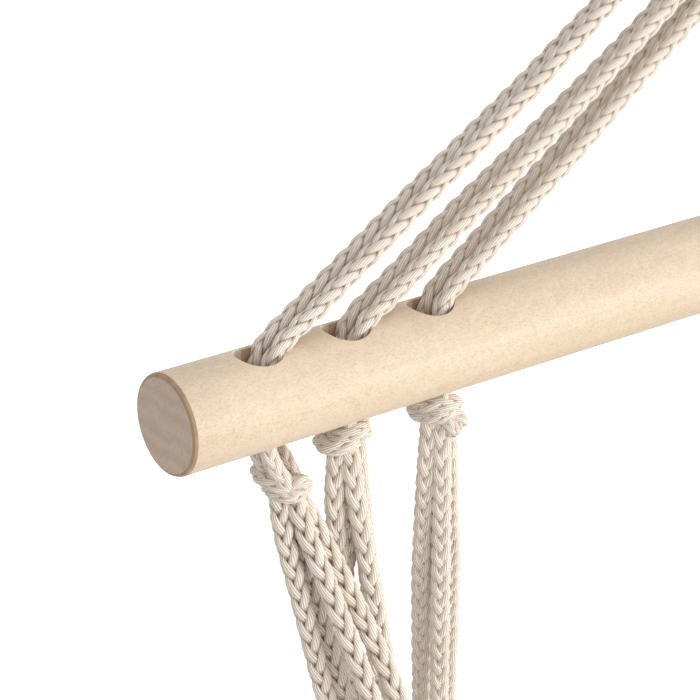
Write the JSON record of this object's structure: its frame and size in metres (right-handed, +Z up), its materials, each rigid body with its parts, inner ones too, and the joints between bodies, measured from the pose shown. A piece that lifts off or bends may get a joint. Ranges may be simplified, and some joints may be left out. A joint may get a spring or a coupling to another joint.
{
  "type": "hammock chair",
  "caption": "Hanging hammock chair: round wooden spreader bar on doubled cords from a ring and swivel, knotted cords fanning down to a canvas seat by eyelets.",
  "frame": {"origin": "where the inside of the swivel's bow rests on its hook", "axes": "+Z up, X along the spreader bar, and a sitter faces -Y"},
  "size_m": [1, 0.6526, 1.4993],
  "materials": {
    "steel": "satin, welded and formed",
    "brass": "satin",
    "wood": "pale, smooth sanded, fine fleck",
    "cord": "natural cotton braid",
    "canvas": "natural cotton canvas"
  },
  "bodies": {
    "hanger": {"swivel_bow": "steel", "swivel_washer": "brass"},
    "eye": {"swivel_eye": "steel"},
    "ring": {"hang_ring": "steel"},
    "bar": {"spreader_bar": "wood", "upper_cord_left_outer": "cord", "upper_cord_left_middle": "cord", "upper_cord_left_inner": "cord", "upper_cord_right_outer": "cord", "upper_cord_right_middle": "cord", "upper_cord_right_inner": "cord", "knot_left_outer": "cord", "knot_left_middle": "cord", "knot_left_inner": "cord", "knot_right_outer": "cord", "knot_right_middle": "cord", "knot_right_inner": "cord"},
    "seat": {"seat_cord_left_1": "cord", "seat_cord_left_2": "cord", "seat_cord_left_3": "cord", "seat_cord_left_4": "cord", "seat_cord_left_5": "cord", "seat_cord_left_6": "cord", "seat_cord_right_1": "cord", "seat_cord_right_2": "cord", "seat_cord_right_3": "cord", "seat_cord_right_4": "cord", "seat_cord_right_5": "cord", "seat_cord_right_6": "cord", "side_band_left": "canvas", "side_band_right": "canvas", "eyelet_left_1": "brass", "eyelet_left_2": "brass", "eyelet_left_3": "brass", "eyelet_left_4": "brass", "eyelet_left_5": "brass", "eyelet_left_6": "brass", "eyelet_left_7": "brass", "eyelet_left_8": "brass", "eyelet_left_9": "brass", "eyelet_left_10": "brass", "eyelet_left_11": "brass", "eyelet_left_12": "brass", "eyelet_right_1": "brass", "eyelet_right_2": "brass", "eyelet_right_3": "brass", "eyelet_right_4": "brass", "eyelet_right_5": "brass", "eyelet_right_6": "brass", "eyelet_right_7": "brass", "eyelet_right_8": "brass", "eyelet_right_9": "brass", "eyelet_right_10": "brass", "eyelet_right_11": "brass", "eyelet_right_12": "brass", "seat_canvas": "canvas"}
  },
  "joints": [
    {"name": "swivel_spin", "type": "hinge", "parent": "hanger", "child": "eye", "pos_m": [0, 0, 0], "axis": [0, 0, 1], "continuous": true},
    {"name": "ring_swing", "type": "hinge", "parent": "eye", "child": "ring", "pos_m": [0, 0, -0.0707], "axis": [1, 0, 0], "range_deg": [-30, 30]},
    {"name": "ring_tilt", "type": "hinge", "parent": "ring", "child": "bar", "pos_m": [0, 0, -0.1067], "axis": [0, 1, 0], "range_deg": [-12, 12]},
    {"name": "seat_swing", "type": "hinge", "parent": "bar", "child": "seat", "pos_m": [0, 0, -0.4387], "axis": [1, 0, 0], "range_deg": [-20, 20]}
  ]
}
